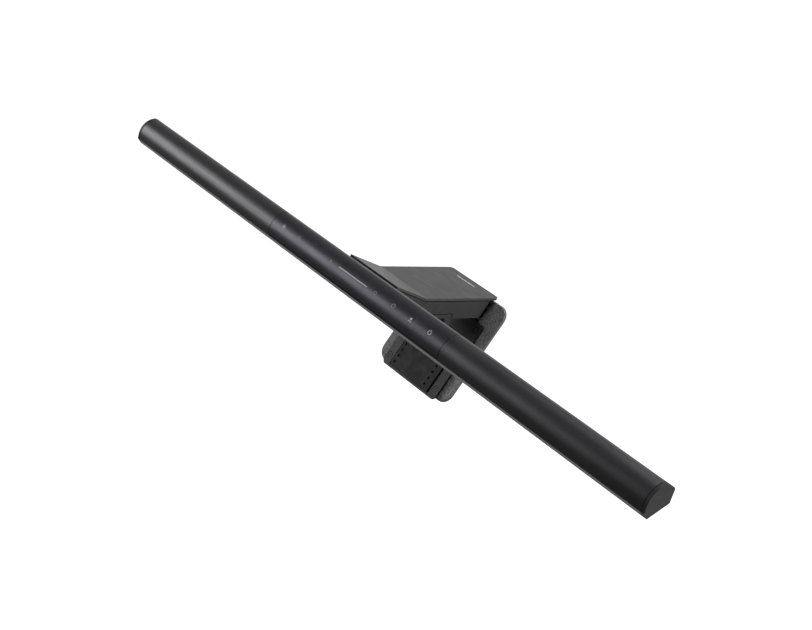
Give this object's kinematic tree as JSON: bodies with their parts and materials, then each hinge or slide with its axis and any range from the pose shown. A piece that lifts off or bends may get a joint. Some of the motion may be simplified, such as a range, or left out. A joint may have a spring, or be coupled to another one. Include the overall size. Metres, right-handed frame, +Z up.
{
  "type": "monitor light bar",
  "caption": "Slim tilting light bar on a sprung clamp that grips the top edge of a computer monitor between a front hook and a padded rear arm.",
  "frame": {"origin": "centre of the seat pad's underside, where the clamp rests on the monitor's top edge", "axes": "+X along the bar, to the right for a person facing the screen; +Y away from that person, behind the monitor; +Z up"},
  "size_m": [0.45, 0.0994, 0.0719],
  "materials": {
    "anodised": "dark grey anodised, satin",
    "touch_cover": "smooth smoked cover, satin gloss",
    "cap": "black moulded, satin",
    "diffuser": "frosted white",
    "white": "matt white",
    "board": "circuit board",
    "steel": "plain",
    "black_steel": "black oxide, satin",
    "plate": "fine matt grey coating",
    "shell": "moulded dark grey, matt",
    "grained": "fine pebble grain, matt",
    "rubber": "smooth dark silicone"
  },
  "bodies": {
    "clamp": {"top_plate": "plate", "clamp_housing": "shell", "front_hook": "shell", "hook_screw_left": "black_steel", "hook_screw_right": "black_steel", "hook_pad": "rubber", "seat_pad": "rubber", "tilt_pin": "black_steel", "friction_washer_left": "black_steel", "friction_washer_right": "black_steel"},
    "light_bar": {"bar_housing": "anodised", "touch_panel": "touch_cover", "diffuser": "diffuser", "led_board": "white", "reflector": "white", "touch_board": "board", "driver_board": "board", "usb_c_socket": "steel", "left_end_cap": "cap", "right_end_cap": "cap", "bar_bracket": "black_steel", "bracket_screw_left": "black_steel", "bracket_screw_right": "black_steel"},
    "rear_arm": {"arm_shell": "grained", "arm_panel": "shell", "arm_screw_1": "black_steel", "arm_screw_2": "black_steel", "arm_screw_3": "black_steel", "arm_screw_4": "black_steel", "grip_pad": "rubber", "counterweight": "steel", "arm_pin": "steel", "torsion_spring_left": "steel", "torsion_spring_right": "steel"}
  },
  "joints": [
    {"name": "bar_tilt", "type": "hinge", "parent": "clamp", "child": "light_bar", "pos_m": [0, -0.053, 0.011], "axis": [1, 0, 0], "range_deg": [-10, 25]},
    {"name": "arm_swing", "type": "hinge", "parent": "clamp", "child": "rear_arm", "pos_m": [0, 0.02054, 0.0001], "axis": [1, 0, 0], "range_deg": [0, 45], "stiffness_Nm_per_rad": 0.3, "springref_deg": -45.84}
  ]
}
